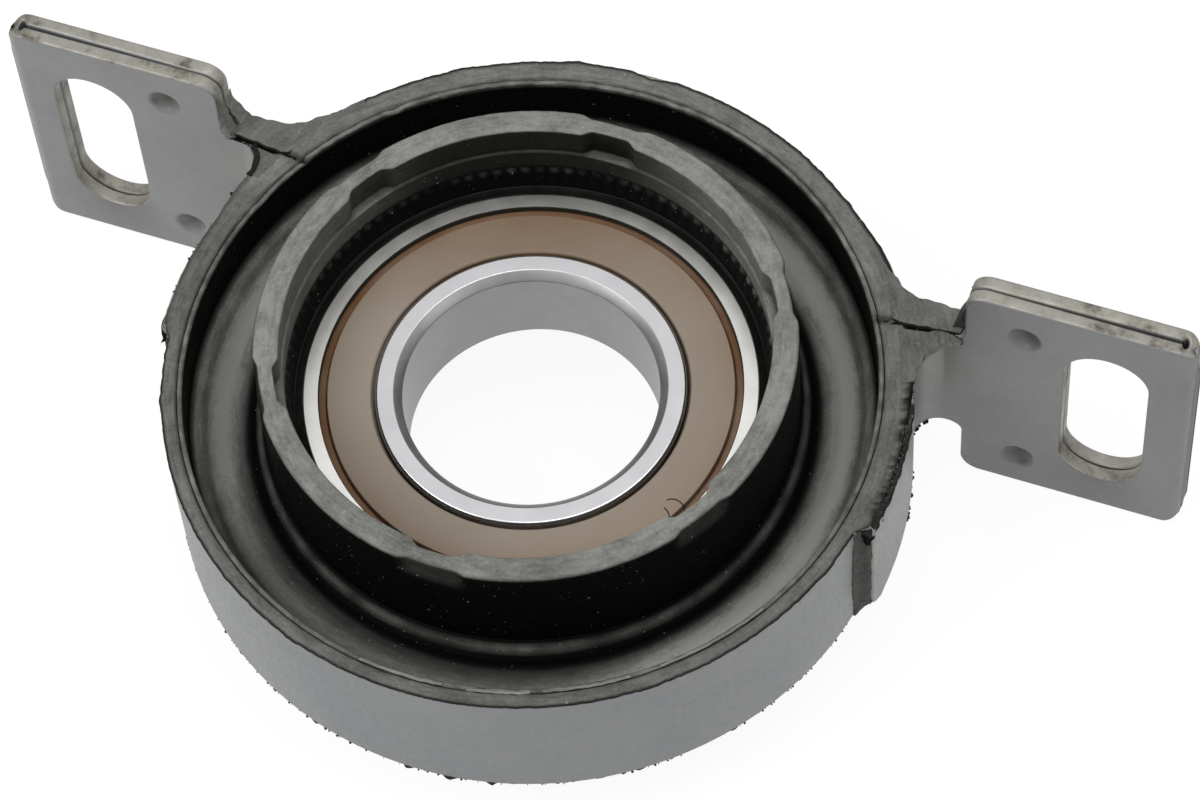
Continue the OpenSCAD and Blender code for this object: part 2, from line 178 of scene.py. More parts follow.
def ramp(material, value, stops):
    """Colour ramp with (position, colour) stops."""
    made = node(material, "ShaderNodeValToRGB", {"Fac": value})
    elements = made.color_ramp.elements
    while len(elements) < len(stops):
        elements.new(1.0)
    for element, (position, colour) in zip(elements, stops):
        element.position = position
        element.color = (*colour, 1)
    return made.outputs["Color"]


def clouds(material, value, first, second):
    """Soft clouds of noise between two colours, or between two numbers for a roughness."""
    tones = [tone if isinstance(tone, tuple) else (tone,) * 3 for tone in (first, second)]
    return ramp(material, value, list(zip((0.3, 0.7), tones)))


def relief(material, heights, distance):
    """Bump from one or more height outputs, the last one on top."""
    normal = None
    for height, strength in heights:
        sockets = {"Height": height, "Strength": strength, "Distance": distance}
        if normal is not None:
            sockets["Normal"] = normal
        normal = node(material, "ShaderNodeBump", sockets).outputs["Normal"]
    return normal


def coat_on_steel(name, dark, light):
    """Thin grey coat on sheet steel. Gives the material, its object coordinates and its cloudy colour."""
    material = finish(name, Metallic=0.35, IOR=1.5)
    place = object_place(material)
    cloudy = grain(material, place, 55, 6, 0.65)
    speckle = grain(material, place, 1400, 3)
    colour = clouds(material, cloudy, dark, light)
    feed(
        material,
        Base_Color=colour,
        Roughness=clouds(material, speckle, 0.36, 0.5),
        Normal=relief(material, [(speckle, 0.12), (cloudy, 0.1)], 0.2 * mm),
    )
    return material, place, colour


coated_steel = coat_on_steel("coated_steel", (0.165, 0.171, 0.177), (0.205, 0.209, 0.211))[0]
sleeve_profile = [
    (sleeve_in_r, band_bottom), (sleeve_r, band_bottom), (sleeve_r, band_top), (sleeve_in_r, band_top),
]
sleeve_bm = turned(sleeve_profile, sleeve_edge_round, sleeve_steps)
sleeve = piece_from(sleeve_bm, "sleeve_ring", coated_steel)
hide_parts("outer_sleeve")
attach(sleeve, "bracket")

# Bracket strap: one steel strip bent round the sleeve, its two ears folded double and clinched.
# It starts as the solid's own surface, with every cut edge broken as tumbled sheet is.
strap_r = 44.5
strap_slack = 0.6
edge_break = 0.35
leg_end = 9.0
leg_corner_r = 2.6
neck_x = 46.2
slot_x = 63.3
slot_half_w = 5.0
slot_half_l = 13.5
dimple_x = 53.36
dimple_z = 13.5
fold_mid = 21.9
fold_half = 0.4
fold_at_tip = 1.9
fold_at_neck = 0.35
band_mid = (band_top + band_bottom) / 2

bm = bmesh.new()
bm.from_mesh(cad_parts["bracket_strap"].data)
bmesh.ops.scale(bm, vec=(1 / mm,) * 3, verts=bm.verts[:])
bmesh.ops.remove_doubles(bm, verts=bm.verts[:], dist=0.02)
bmesh.ops.dissolve_limit(bm, angle_limit=math.radians(0.5), verts=bm.verts[:], edges=bm.edges[:])


def ease(a, b, value):
    """0 before a, 1 after b, smooth between them. It falls where a is the larger."""
    t = min(max((value - a) / (b - a), 0), 1)
    return t * t * (3 - 2 * t)


def strap_reach(angle):
    """Outer radius of the strap in a direction in degrees. It hugs the sleeve more behind and on the left."""
    a = angle % 360
    close = ease(38, 50, a) * ease(147, 138, a) + ease(160, 168, a) * (a < 200)
    return strap_r - strap_slack * close


def is_leg_corner(edge):
    """True for the lower edge of a front leg's end, which runs straight out from the axis."""
    low = all(abs(v.co.z - band_bottom) < 0.05 for v in edge.verts)
    past = [math.degrees(math.atan2(-v.co.y, abs(v.co.x))) for v in edge.verts]
    return low and all(abs(angle - leg_end) < 0.2 for angle in past)


def is_cut(face):
    """True where the strip was sheared or punched, so that bare steel shows."""
    middle, normal = face.calc_center_median(), face.normal
    beside_slot = abs(abs(middle.x) - slot_x) < slot_half_w + 0.1
    in_slot = beside_slot and abs(middle.z - band_mid) < slot_half_l + 0.1
    inner_edge = abs(normal.x) > 0.9 and abs(middle.x) < neck_x + 0.5 and middle.y > 20
    return inner_edge or (abs(normal.z) > 0.3 or in_slot) and abs(normal.y) < 0.3


for v in bm.verts:
    if strap_r - 0.3 < math.hypot(v.co.x, v.co.y) < strap_r + 0.05:
        hug = strap_reach(math.degrees(math.atan2(v.co.y, v.co.x))) / strap_r
        v.co = (v.co.x * hug, v.co.y * hug, v.co.z)
for v in bm.verts:
    if abs(v.co.x) > neck_x - 0.5 and abs(v.co.y - fold_mid) < fold_half:
        at_tip = abs(v.co.x) > slot_x + slot_half_w + 1
        v.co.y = fold_mid + (v.co.y - fold_mid) * (fold_at_tip if at_tip else fold_at_neck)
leg_corners = [edge for edge in bm.edges if is_leg_corner(edge)]
bmesh.ops.bevel(bm, geom=leg_corners, offset=leg_corner_r, offset_type="OFFSET", segments=5, profile=0.5,
                affect="EDGES", clamp_overlap=False, material=-1)
bm.normal_update()
for face in bm.faces:
    face.material_index = int(is_cut(face))
cut_edges = [edge for edge in bm.edges if edge.calc_face_angle(0) > math.radians(40)]
bmesh.ops.bevel(bm, geom=cut_edges, offset=edge_break, offset_type="OFFSET", segments=3, profile=0.5,
                affect="EDGES", clamp_overlap=False, material=-1)


def reckon(material, operation, *values):
    """Arithmetic on node outputs and numbers."""
    return node(material, "ShaderNodeMath", dict(enumerate(values)), operation=operation).outputs[0]


def spread(material, value, start, end, low, high):
    """Goes from low to high as the value goes from start to end, and stays there outside."""
    sockets = {"Value": value, "From Min": start, "From Max": end, "To Min": low, "To Max": high}
    return node(material, "ShaderNodeMapRange", sockets).outputs["Result"]


def distance(material, place, spot):
    """Distance in metres from a spot."""
    return node(material, "ShaderNodeVectorMath", {0: place, 1: spot}, operation="DISTANCE").outputs["Value"]


def blended(material, share, first, second):
    """Colour that goes from the first to the second as the share goes from 0 to 1."""
    return node(material, "ShaderNodeMix", {0: share, 6: first, 7: second}, data_type="RGBA").outputs[2]


ear_steel, place, coat = coat_on_steel("ear_steel", (0.18, 0.184, 0.188), (0.232, 0.234, 0.235))
smudge = grain(ear_steel, place, 420, 5, 0.7)
parts = node(ear_steel, "ShaderNodeSeparateXYZ", {"Vector": place}).outputs
either_side = reckon(ear_steel, "ABSOLUTE", parts["X"])
flat_place = node(ear_steel, "ShaderNodeCombineXYZ", {"X": either_side, "Z": parts["Z"]}).outputs[0]
# Dark patches: grime and painted shade in the dimples' hollows, grime at the slot's foot; a pale film near
# the neck.
dirt_and_shade = (0.045, 0.04, 0.03, 1)
pale_film = (0.31, 0.293, 0.255, 1)
stains_and_shade = [
    (dimple_x, dimple_z, 1.3, 3.0, 0.85, dirt_and_shade),
    (dimple_x, -dimple_z, 1.3, 3.0, 0.85, dirt_and_shade),
    (slot_x, -slot_half_l, 2.0, 9.0, 0.35, dirt_and_shade),
    (neck_x - 2.0, 3.0, 1.0, 9.0, 0.5, pale_film),
]
for x, height, near, far, strength, tone in stains_and_shade:
    away = distance(ear_steel, flat_place, (x * mm, 0, (band_mid + height) * mm))
    uneven = reckon(ear_steel, "MULTIPLY_ADD", smudge, far * 0.6 * mm, away)
    stain_and_shade_share = spread(ear_steel, uneven, near * mm, far * 1.1 * mm, strength, 0.0)
    coat = blended(ear_steel, stain_and_shade_share, coat, tone)
# Painted shade: the steel darkens from 38 mm right of the axis outward, over the right neck and ear.
right_ear_painted_shade = spread(ear_steel, parts["X"], 38 * mm, 47 * mm, 0.0, 0.24)
feed(ear_steel, Base_Color=blended(ear_steel, right_ear_painted_shade, coat, (0.08, 0.08, 0.08, 1)))

sheared_steel = finish("sheared_steel", Metallic=0.5, IOR=1.5)
place = object_place(sheared_steel)
stain = grain(sheared_steel, place, 260, 6, 0.7)
torn_grain = grain(sheared_steel, place, 2200, 4)
stain_stops = [(0.32, (0.07, 0.06, 0.045)), (0.46, (0.24, 0.23, 0.2)), (0.7, (0.33, 0.32, 0.29))]
feed(
    sheared_steel,
    Base_Color=ramp(sheared_steel, stain, stain_stops),
    Roughness=clouds(sheared_steel, stain, 0.6, 0.42),
    Normal=relief(sheared_steel, [(torn_grain, 0.25)], 0.2 * mm),
)
strap = piece_from(bm, "strap_with_ears", ear_steel)
strap.data.materials.append(sheared_steel)
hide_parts("bracket_strap")
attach(strap, "bracket")

# Rubber mount: one moulding bonded to all the steel. A lining inside the sleeve with a cap over its
# edge, a rolled diaphragm, a hub round the bearing seat and a notched collar above it.
# Flash and crumbs are left where the mould closed on the steel.
lining_r = 40.3
rim_top = band_top + 0.35
rear_lift = 0.4
step_y = 19.8
cap_from = 41.3
cap_mid_r = 43.0
pad_angle = 2.2
collar_r = 31.3
collar_in_r = 28.2
collar_top = 17.5
hub_in_r = 29.05
hub_bottom = -8.0
throat_r = 27.5
diaphragm_z = -0.6
diaphragm_knots = [
    (0, 3.8), (0.14, 2.2), (0.3, 0.9), (0.56, 1.5), (0.76, 1.5), (0.86, 2.6), (0.92, 2.6), (1, 3.8),
]
bead_height = 0.28
notch_first = 29.8
notch_count = 6
notch_round = 1.6
pocket_half = 5.6
pocket_depth = 0.75
ledge_z = 13.1
recess_half = 6.4
recess_depth = 0.5
recess_floor = 14.2
ridge_z = 10.0
rib_count = 104
rib_depth = 0.22
rib_foot = 7.3
rib_head = 9.7
rubber_steps = 600


def diaphragm_surface(per_knot):
    """Points from the collar to the lining as (radius, half thickness), eased from knot to knot."""
    points = []
    for (a, ha), (b, hb) in zip(diaphragm_knots, diaphragm_knots[1:]):
        for i in range(per_knot):
            t = i / per_knot
            share = a + (b - a) * t
            half = ha + (hb - ha) * (1 - math.cos(math.pi * t)) / 2
            points.append((collar_r + (lining_r - collar_r) * share, half))
    return points + [(lining_r, diaphragm_knots[-1][1])]


bearing_wall = [
    (hub_in_r, hub_bottom), (hub_in_r, 6.85), (throat_r, 6.85), (throat_r, 7.2), (27.95, 8.0), (28.2, 8.8),
    (28.4, 9.3), (28.46, 9.65), (collar_in_r, ridge_z), (28.3, 10.4), (28.26, 11.5), (28.18, ledge_z - 0.25),
    (28.2, ledge_z - 0.05), (28.45, ledge_z + 0.05), (28.48, ledge_z + 0.3), (28.4, 15.0), (28.32, 16.6),
    (28.28, collar_top - 0.25), (28.36, collar_top - 0.08), (28.55, collar_top), (29.2, collar_top + 0.02),
    (30.2, collar_top), (30.95, collar_top - 0.04), (31.18, collar_top - 0.14), (collar_r, collar_top - 0.4),
    (collar_r, 16.4), (collar_r, 15.6), (collar_r, 15.0), (collar_r, 14.6), (collar_r, recess_floor),
    (collar_r, 13.6), (collar_r, 12.0), (collar_r, 8.5), (collar_r, 5.5),
]
diaphragm_top = [(r, diaphragm_z + half) for r, half in diaphragm_surface(5)]
rim_wall = [
    (lining_r, 5.0), (lining_r, 7.0), (lining_r, 8.6), (lining_r + 0.06, 8.9), (lining_r + 0.2, 9.02),
    (lining_r + 0.45, 9.03), (lining_r + 0.6, 8.93), (lining_r + 0.68, 8.58), (lining_r + 0.76, 8.93),
    (lining_r + 0.92, 9.1), (41.3, 9.16), (41.65, rim_top), (42.05, 9.17), (42.4, 9.06), (42.65, 8.95),
    (sleeve_r, band_top + 0.02), (42.75, band_top - 0.03), (42.2, band_top), (sleeve_in_r, band_top),
    (sleeve_in_r, -1.0), (sleeve_in_r, band_bottom), (42.2, band_bottom), (42.5, band_bottom),
    (42.5, band_bottom - 0.2), (42.3, band_bottom - 0.35), (41.0, band_bottom - 0.35),
    (lining_r + 0.2, band_bottom - 0.35), (lining_r, band_bottom - 0.1), (lining_r, -7.0),
]
diaphragm_under = [(r, diaphragm_z - half) for r, half in reversed(diaphragm_surface(3))]
hub_foot = [(collar_r, -6.5), (collar_r, hub_bottom + 0.3), (collar_r - 0.3, hub_bottom)]


def notch_share(angle, half):
    """1 inside a notch of the collar, 0 outside, rounded over at its two sides."""
    pitch = 360 / notch_count
    away = abs((angle - notch_first + pitch / 2) % pitch - pitch / 2)
    return ease(half + notch_round, half - notch_round, away)


def cap_reach(angle):
    """How far the rubber over the sleeve's upper edge reaches in a direction given in degrees."""
    behind = angle if abs(angle) <= 90 else math.copysign(180, angle) - angle
    wide = ease(-leg_end - pad_angle, -leg_end + 0.6, behind)
    torn_out = 0.55 * max(0, 1 - abs(angle - 90) / 3.5)
    return sleeve_r + (strap_reach(angle) - 0.25 - sleeve_r) * wide - torn_out


def ragged(angle, frequency, seed):
    """Repeatable noise round the part, about -1 to 1."""
    a = math.radians(angle)
    return noise.noise(Vector((math.cos(a) * frequency, math.sin(a) * frequency, seed)))


bm = bmesh.new()
# This share lightens the black rubber: real dust, and also painted highlights, sheen and shade.
dust_and_light = bm.verts.layers.float.new("dust_and_light")
gloss = bm.verts.layers.float.new("gloss")
outline = bearing_wall + diaphragm_top + rim_wall + diaphragm_under + hub_foot
bm.faces.new([bm.verts.new((r, 0, z)) for r, z in outline])
bmesh.ops.delete(bm, geom=bm.faces[:], context="FACES_ONLY")
bmesh.ops.spin(bm, geom=bm.verts[:] + bm.edges[:], cent=(0, 0, 0), axis=(0, 0, 1),
               angle=2 * math.pi, steps=rubber_steps, use_merge=True)
bmesh.ops.remove_doubles(bm, verts=bm.verts[:], dist=1e-4)
for v in bm.verts:
    r = math.hypot(v.co.x, v.co.y)
    z = v.co.z
    angle = math.degrees(math.atan2(v.co.y, v.co.x))
    # Painted light: the collar's inner wall and throat are made lighter on the right and the left.
    lit_right_share = ease(92, 55, abs(angle))
    lit_left_share = ease(128, 168, abs(angle))
    # The collar's top is lighter: dust, and painted sheen.
    top_dust_and_sheen = ease(collar_top - 0.3, collar_top - 0.05, z)
    if r < 30 and z > ridge_z + 0.2:
        # Inner face of the collar: pockets above a ledge, where dust lies; the pockets are painted darker as
        # shade.
        in_notch = notch_share(angle, pocket_half)
        on_ledge = max(0, 1 - abs(z - ledge_z) / 0.25) * (0.25 + 0.75 * in_notch)
        v[dust_and_light] = 0.06 + 0.5 * lit_left_share + 0.62 * lit_right_share + 0.7 * on_ledge
        if z > ledge_z:
            r += pocket_depth * in_notch * (1 - ease(28.8, 29.6, r))
            v[dust_and_light] = max(v[dust_and_light] * (1 - 0.5 * in_notch), top_dust_and_sheen)
    elif r < 28.5 and rib_foot < z < rib_head:
        # Throat: fine upright ribs, their heads painted pale here and there as glints.
        crest = 0.5 + 0.5 * math.cos(math.radians(angle) * rib_count)
        r -= rib_depth * crest
        rib_glint = crest * max(0, 0.4 + ragged(angle, 9, 6.4)) * (z > 9.2)
        v[dust_and_light] = (0.25 + 0.5 * lit_right_share) * rib_glint
    elif r < collar_r + 0.1 and z > recess_floor - 0.3:
        # Outer face of the collar: a shallow recess at each notch, its facet painted lighter as sheen.
        recess = notch_share(angle, recess_half) * ease(recess_floor - 0.2, 15.2, z)
        r -= recess_depth * recess * ease(29.6, 31.2, r)
        v[dust_and_light] = max(top_dust_and_sheen, 0.14 * recess)
    elif collar_r + 0.3 < r < lining_r - 0.1 and z > diaphragm_z:
        # Diaphragm: a bead beside the collar with a painted highlight, then a trough painted lighter as satin
        # sheen and painted darker in front as shade.
        bead = ease(31.6, 32.0, r) * ease(32.5, 32.1, r)
        z += bead_height * bead
        front_painted_shade = ease(-35, -70, angle) * ease(-165, -125, angle)
        trough = ease(33.2, 36.2, r) * (1 - 0.5 * ease(36.6, 38.4, r)) * ease(40.2, 39.6, r)
        v[dust_and_light] = bead * (0.42 + 0.3 * ragged(angle, 14, 8.2)) + (1.6 - 1.1 * front_painted_shade) * trough
        v[gloss] = ease(33.4, 36.0, r) * ease(39.0, 37.0, r)
    elif r > lining_r - 0.1 and z > 8.5:
        # Cap over the sleeve's edge: torn outside, frayed inside, higher behind a split.
        across_y = r * math.sin(math.radians(angle))
        v[dust_and_light] = (0.64 + 0.14 * ease(0, 25, across_y)) * ease(8.65, 8.98, z)
        # Painted shade: the cap darkens along its rounded outer edge, less over the left leg.
        left_leg = ease(-30, -38, v.co.x) * ease(-8, -5, across_y) * ease(20, 17, across_y)
        v[dust_and_light] *= 1 - (0.85 - 0.5 * left_leg) * ease(42.4, 42.65, r)
        if r > cap_from:
            reach = cap_reach(angle)
            reach += 0.12 * ragged(angle, 60, 3.1) + 0.5 * max(0, ragged(angle, 12, 7.7) - 0.3)
            r = cap_from + (r - cap_from) * (reach - cap_from) / (sleeve_r - cap_from)
            leg_turn = math.degrees(across_y / cap_mid_r)
            on_leg = ease(-7.5, -6.5, leg_turn) * ease(14, 10, across_y) * (v.co.x > 0)
            dark_edge = 0.65 + 0.5 * ragged(angle, 90, 2.7)
            v[dust_and_light] *= 1 - 0.85 * on_leg * ease(reach - dark_edge - 0.3, reach - dark_edge, r)
        if z > band_top + 0.01:
            z += rear_lift * ease(step_y - 0.1, step_y + 0.15, across_y)
            z += 0.05 * noise.noise(v.co * 0.9) + 0.04 * noise.noise(v.co * 2.3)
            frayed = ease(41.4, 40.9, r)
            z += frayed * (0.14 * ragged(angle, 45, 9.1) - 0.6 * max(0, ragged(angle, 14, 4.4) - 0.3))
            # A split crosses the cap: it is sunk, and painted dark as the shade in it.
            split = max(0, 1 - abs(across_y - step_y + 0.2) / 0.42)
            split *= 1 if v.co.x < 0 else ease(40.6, 41.0, r)
            z -= 0.5 * split
            v[dust_and_light] *= (1 - split) * (1 + 0.5 * frayed * ragged(angle, 30, 1.9))
    elif r > 41.5 and z < band_bottom + 0.1:
        # Foot of the lining: crumbs of flash hang below the band.
        crumb = 0.35 * max(0, ragged(angle, 70, 5.5)) + 1.1 * max(0, ragged(angle, 25, 2.2) - 0.25)
        r += 0.9 * crumb * ease(42.0, 42.5, r)
        z -= 0.55 * crumb * (z < band_bottom - 0.05)
        v[dust_and_light] = 0.12
    v[dust_and_light] *= 1 + 0.12 * noise.noise(v.co * 0.35) + 0.12 * noise.noise(v.co * 1.1)
    if z > collar_top - 0.2:
        z += 0.05 * noise.noise(v.co * 0.8) + 0.03 * noise.noise(v.co * 2.1)
        v[dust_and_light] *= 1 - 0.15 * ease(-15, -28, v.co.y)
    v.co = (r * math.cos(math.radians(angle)), r * math.sin(math.radians(angle)), z)


def arc(x, y, r, first, last, steps):
    """Points on a circle from one direction in degrees to another."""
    turns = [math.radians(first + (last - first) * i / steps) for i in range(steps + 1)]
    return [(x + r * math.cos(a), y + r * math.sin(a)) for a in turns]


def mirrored(points, side):
    """The outline itself for side 1, its mirror image on the left for side -1."""
    return [(side * x, y) for x, y in points]


def at_height(points, z):
    return [Vector((x, y, z)) for x, y in points]


def torn(points, step, rough, seed):
    """The same outline in short steps, with the uneven edge of torn rubber."""
    edge = []
    for (ax, ay), (bx, by) in zip(points, points[1:] + points[:1]):
        count = max(1, round(math.hypot(bx - ax, by - ay) / step))
        edge += [(ax + (bx - ax) * i / count, ay + (by - ay) * i / count) for i in range(count)]
    shift = [noise.noise_vector(Vector((x, y, seed))) * rough for x, y in edge]
    return [(x + move.x, y + move.y) for (x, y), move in zip(edge, shift)]


flash_seed = 7
noise.seed_set(flash_seed)
flash_bm = bmesh.new()
flash_dust_and_shade = flash_bm.verts.layers.float.new("dust_and_light")


def add_block(points, low, high, shade, rough=0.0, layers=1, wall_shade=0.2):
    """Adds an upright block of rubber, its walls rough and with another share of the top's tone; walls darker
    than the top are painted shade.
    """
    face = flash_bm.faces.new([flash_bm.verts.new((x, y, low)) for x, y in points])
    made = list(face.verts)
    for _ in range(layers):
        raised = bmesh.ops.extrude_face_region(flash_bm, geom=[face])["geom"]
        face = next(g for g in raised if isinstance(g, bmesh.types.BMFace))
        bmesh.ops.translate(flash_bm, vec=(0, 0, (high - low) / layers), verts=face.verts[:])
        made += face.verts[:]
    for v in made:
        v[flash_dust_and_shade] = shade * (1 if v.co.z > high - 0.01 else wall_shade)
        move = noise.noise_vector(v.co * 1.1) * rough
        v.co += Vector((move.x, move.y, 0))
    return made


def add_crumbs(path, count, size, shade):
    """Strews small lumps of torn rubber along a path of points, the same ones on every run."""
    for i in range(count):
        draw = noise.cell_vector(Vector((i * 1.7 + path[0].x, size * 31.0, path[0].z)))
        at = draw.x * (len(path) - 1)
        first = min(int(at), len(path) - 2)
        spot = path[first].lerp(path[first + 1], at - first)
        radius = size * (0.4 + 0.9 * draw.y ** 3)
        for v in bmesh.ops.create_icosphere(flash_bm, subdivisions=1, radius=radius)["verts"]:
            v.co += noise.noise_vector(v.co * 4 + spot) * size * 0.5
            v.co += spot
            v[flash_dust_and_shade] = shade * (0.5 + draw.z)


def add_corner_film(side, near_y, far_y, foot, height, shade):
    """Adds the film of rubber left in the corner between an ear's inner edge and the band."""
    edge, tip, low = side * (neck_x + 0.1), side * (neck_x - foot), band_top - 0.4
    film_outline = torn([(edge, near_y), (tip, near_y), (tip, far_y), (edge, far_y)], 0.3, 0.05, foot)
    for v in add_block(film_outline, low, low + height, shade, 0.28, 16, 1.0):
        share = max(0, 1 - (v.co.z - low) / height)
        v.co.x = edge + (v.co.x - edge) * (0.03 + 0.97 * share ** 1.5)


front_bend = (44.316, 17.1)
front_bend_r = 3.0
rear_bend = (40.33, 28.7)
rear_bend_r = 5.0
strip_t = 1.7
ear_front = 20.1
ear_back = 23.7
web_tip = 42.7
rear_top = rim_top + rear_lift
film_drop = 0.4
tear = 0.3

web = arc(*front_bend, front_bend_r + strip_t, 196, 112, 12) + [(web_tip, 21.6), (web_tip, 22.0)]
web += arc(*rear_bend, rear_bend_r + strip_t, 268, 220, 8) + arc(0, 0, sleeve_r, 34, 23, 6)
front_cap = arc(0, 0, 42.6, 26.6, 21.5, 6) + arc(*front_bend, front_bend_r + 0.1, 201, 92, 14)
front_cap += [(neck_x - 0.7, ear_front + 0.1), (neck_x - 0.7, ear_front + 0.2)]
# A dark strip under the cap's split, painted shade.
split_shade_strip = [
    (37.4, step_y - 0.6), (neck_x - 0.2, step_y + 0.3), (neck_x - 0.2, step_y + 1.3), (37.4, step_y + 0.5),
]
rear_cap = [(38.6, step_y + 0.02), (neck_x - 0.5, step_y + 0.75), (neck_x - 0.25, ear_back - 0.2)]
rear_cap += arc(*rear_bend, rear_bend_r + 0.1, 268, 221, 12) + arc(0, 0, 43.6, 38, 43, 5)
rear_cap += arc(0, 0, 42.6, 43, 28.0, 8)
for side in (1, -1):
    add_block(mirrored(web, side), band_bottom, band_top + 0.04, 0.0)
    add_block(mirrored(split_shade_strip, side), band_top - 0.1, band_top + 0.06, 0.0)
    cap_foot = band_top - 0.02
    add_block(torn(mirrored(front_cap, side), tear, 0.1, 4.4), cap_foot, rim_top - 0.05, 0.6, 0.06, 2)
    add_block(torn(mirrored(rear_cap, side), tear, 0.16, 8.8), cap_foot, rear_top, 0.66, 0.08, 3)

    # Pad of rubber that oozed out at the end of a front leg, and its torn head, kept dark as painted shade of
    # a hole.
    end_r = strap_reach(-leg_end if side > 0 else 180 + leg_end) - 0.2
    pad = [(42.4, 1.9), (42.9, 1.9), (43.1, 1.2), (43.5, 0.5), (end_r, 0.0), (end_r, -0.4), (42.4, -0.6)]
    pad = [(r, math.radians(-leg_end - past)) for r, past in pad]
    pad = [(side * r * math.cos(a), r * math.sin(a)) for r, a in pad]
    for v in add_block(torn(pad, tear, 0.15, 2.6), band_bottom - 0.15, band_top + 0.1, 0.8, 0.22, 30, 0.5):
        v.co.y -= 0.45 * math.sin(math.pi * (v.co.z - band_bottom) / (band_top - band_bottom))
        outer = ease(42.9, 44.2, math.hypot(v.co.x, v.co.y))
        v.co.z += 1.7 * outer * ease(band_bottom + 3, band_bottom, v.co.z)
    pad_head = arc(0, 0, sleeve_r - 0.4, -leg_end - 1.0, -leg_end + 3.4, 6)
    pad_head += arc(0, 0, end_r + 0.1, -leg_end + 3.4, -leg_end - 1.0, 8)
    add_block(torn(mirrored(pad_head, side), tear, 0.3, 5.2), band_top - 2.2, band_top - 0.1, 0.1, 0.5, 6)

    leg_line = []
    for x, y in mirrored(arc(0, 0, 1, -leg_end + 2, 20.5, 30), side):
        reach = strap_reach(math.degrees(math.atan2(y, x))) - 0.1
        leg_line.append(Vector((x, y, 0)) * reach + Vector((0, 0, band_top)))
    neck_line = at_height(mirrored(arc(*front_bend, front_bend_r - 0.05, 170, 95, 12), side), band_top)
    ear_line = [Vector((side * (neck_x - 0.1), ear_back - 0.3, band_top + 0.4 * i)) for i in range(18)]
    add_crumbs(leg_line, 45 if side > 0 else 14, 0.16, 0.15)
    add_crumbs(neck_line, 45, 0.14, 0.9)
    add_crumbs(ear_line, 14 if side > 0 else 5, 0.22, 0.15)
add_corner_film(1, ear_front + 1.0, ear_back - 0.2, 1.9, 8.0, 0.2)
add_corner_film(-1, ear_front - 0.02, ear_front + strip_t, 1.7, 5.8, 0.85)
add_corner_film(-1, ear_back - strip_t, ear_back + 0.02, 2.6, 5.2, 0.95)

# The right bend is filled and strewn with crumbs. The left one has only a gap, painted as a dark block for
# its shade.
fillet_edge = arc(47.8, 14.6, 5.5, 196, 108, 16)
bend_fillet = fillet_edge + arc(*front_bend, front_bend_r + 0.4, 95, 185, 14) + arc(0, 0, 42.5, 22, 16.3, 6)
add_block(torn(bend_fillet, 0.25, 0.22, 3.3), band_top - 0.9, rim_top - 0.04, 0.62, 0.16, 4, 1.5)
add_crumbs(at_height(fillet_edge, band_top - 0.1), 60, 0.13, 1.0)
for crumb_r in (43.45, 43.75, 44.05, 44.3):
    crumb_end = 11 - 4 * (44.3 - crumb_r)
    add_crumbs(at_height(arc(0, 0, crumb_r, -leg_end + 1.5, crumb_end, 24), band_top + 0.12), 70, 0.17, 0.3)
bend_gap_shade = arc(*front_bend, front_bend_r + 0.75, 203, 128, 14) + arc(*front_bend, front_bend_r, 128, 203, 14)
add_block(torn(mirrored(bend_gap_shade, -1), tear, 0.15, 1.2), band_top - 0.3, rim_top + 0.02, 0.08, 0.1, 2)

# Ribbons of flash lie on the front of the rim, and a film hangs over the right leg's upper edge.
ribbons = [(-98, -84, 40.6, 40.95), (-80, -70, 40.75, 41.1), (-68, -54, 40.65, 41.0), (-49, -30, 40.6, 40.9)]
for first, last, inner, outer in ribbons:
    ribbon = arc(0, 0, inner, first, last, 40) + arc(0, 0, outer, last, first, 40)
    add_block(torn(ribbon, 0.25, 0.1, first), rim_top - 0.3, rim_top - 0.08, 0.95, 0.05, 2)
leg_film = arc(0, 0, 44.1, -leg_end + 0.3, 13, 40) + arc(0, 0, 44.62, 13, -leg_end + 0.3, 60)
for v in add_block(leg_film, band_top - film_drop, band_top + 0.1, 0.1, 0.2, 8):
    sunk = 1 - 0.0011 * (band_top - v.co.z) ** 2
    v.co = (v.co.x * sunk, v.co.y * sunk, v.co.z)
add_crumbs(at_height(arc(0, 0, 42.75, -170, -10, 160), band_bottom - 0.1), 110, 0.17, 0.12)
neck_foot = arc(0, 0, 44.45, 6, 15, 6) + arc(*front_bend, front_bend_r, 185, 130, 8)
add_crumbs(at_height(neck_foot, band_bottom - 0.05), 26, 0.3, 0.15)

# Two hair-thin strands of rubber curl on the collar's front.
strand_r = 1.3
strand_thin = 0.07
strands = [(Vector((24.6, -15.8, collar_top - 0.2)), 150), (Vector((23.2, -17.0, collar_top - 0.4)), 80)]
for start, curl in strands:
    upright = Matrix.Translation(start) @ Matrix.Rotation(math.radians(90), 4, "X")
    ring = bmesh.ops.create_circle(bm, segments=6, radius=strand_thin, cap_ends=True, matrix=upright)["verts"]
    faces = list({face for v in ring for face in v.link_faces})
    bmesh.ops.spin(bm, geom=faces, cent=start + Vector((-strand_r, 0, 0)), axis=(0.3, 0.2, 1),
                   angle=math.radians(curl), steps=16)


def axis_distance(material, place):
    """Distance in metres from the bearing's axis."""
    parts = node(material, "ShaderNodeSeparateXYZ", {"Vector": place}).outputs
    flat_place = node(material, "ShaderNodeCombineXYZ", {"X": parts["X"], "Y": parts["Y"]}).outputs[0]
    return node(material, "ShaderNodeVectorMath", {0: flat_place}, operation="LENGTH").outputs["Value"]


dusty_rubber = finish("dusty_rubber", IOR=1.5, Specular_IOR_Level=0.12)
place = object_place(dusty_rubber)
